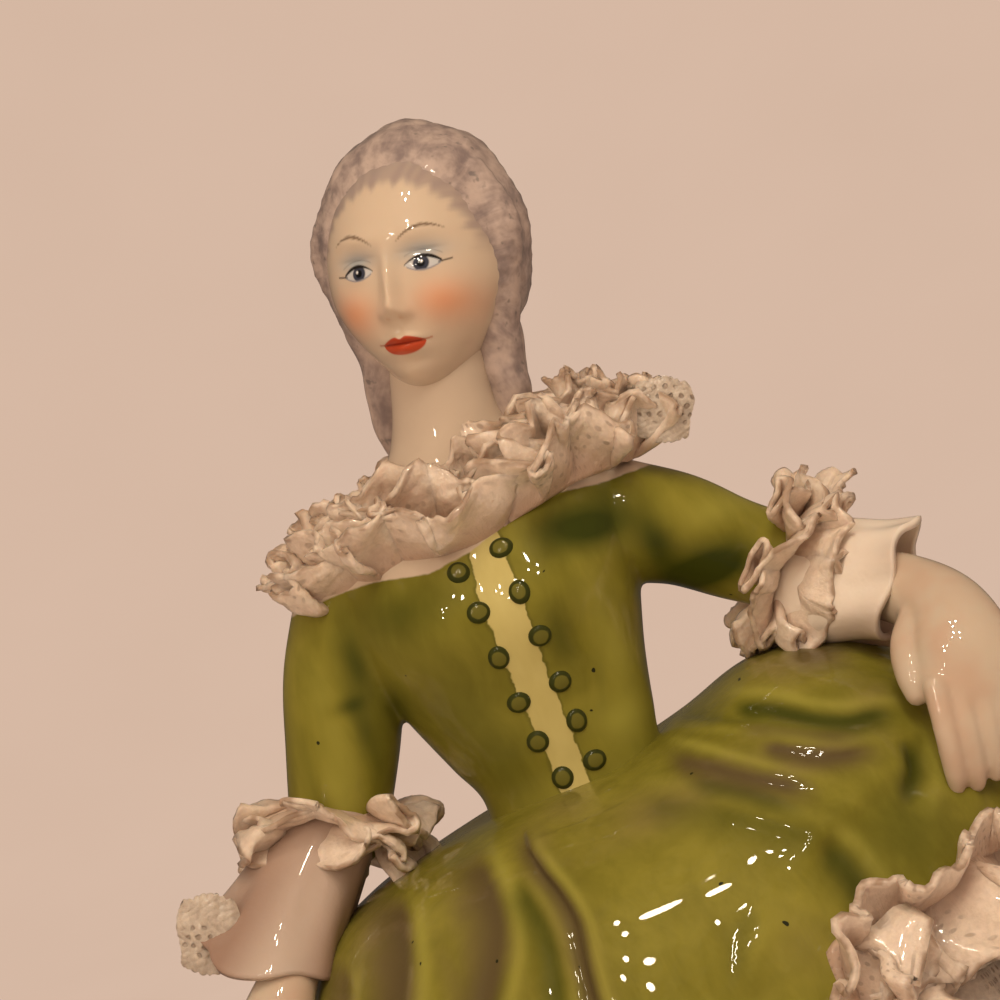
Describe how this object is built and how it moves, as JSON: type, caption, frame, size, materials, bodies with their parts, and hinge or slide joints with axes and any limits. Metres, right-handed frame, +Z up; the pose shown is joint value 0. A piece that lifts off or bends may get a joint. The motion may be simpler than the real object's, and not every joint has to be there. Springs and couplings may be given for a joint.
{
  "type": "figurine",
  "caption": "Standing porcelain lady with swept-back hair, a full green gown lifted by one hand and ruffles of dipped lace, on a low oval plinth.",
  "frame": {"origin": "middle of the flat underside of the plinth", "axes": "+Z up through her head, -Y the way her body faces, +X towards her left hand"},
  "size_m": [0.12, 0.114, 0.1868],
  "materials": {
    "glazed_porcelain": "gloss"
  },
  "bodies": {
    "root": {"figurine": "glazed_porcelain"}
  },
  "joints": []
}
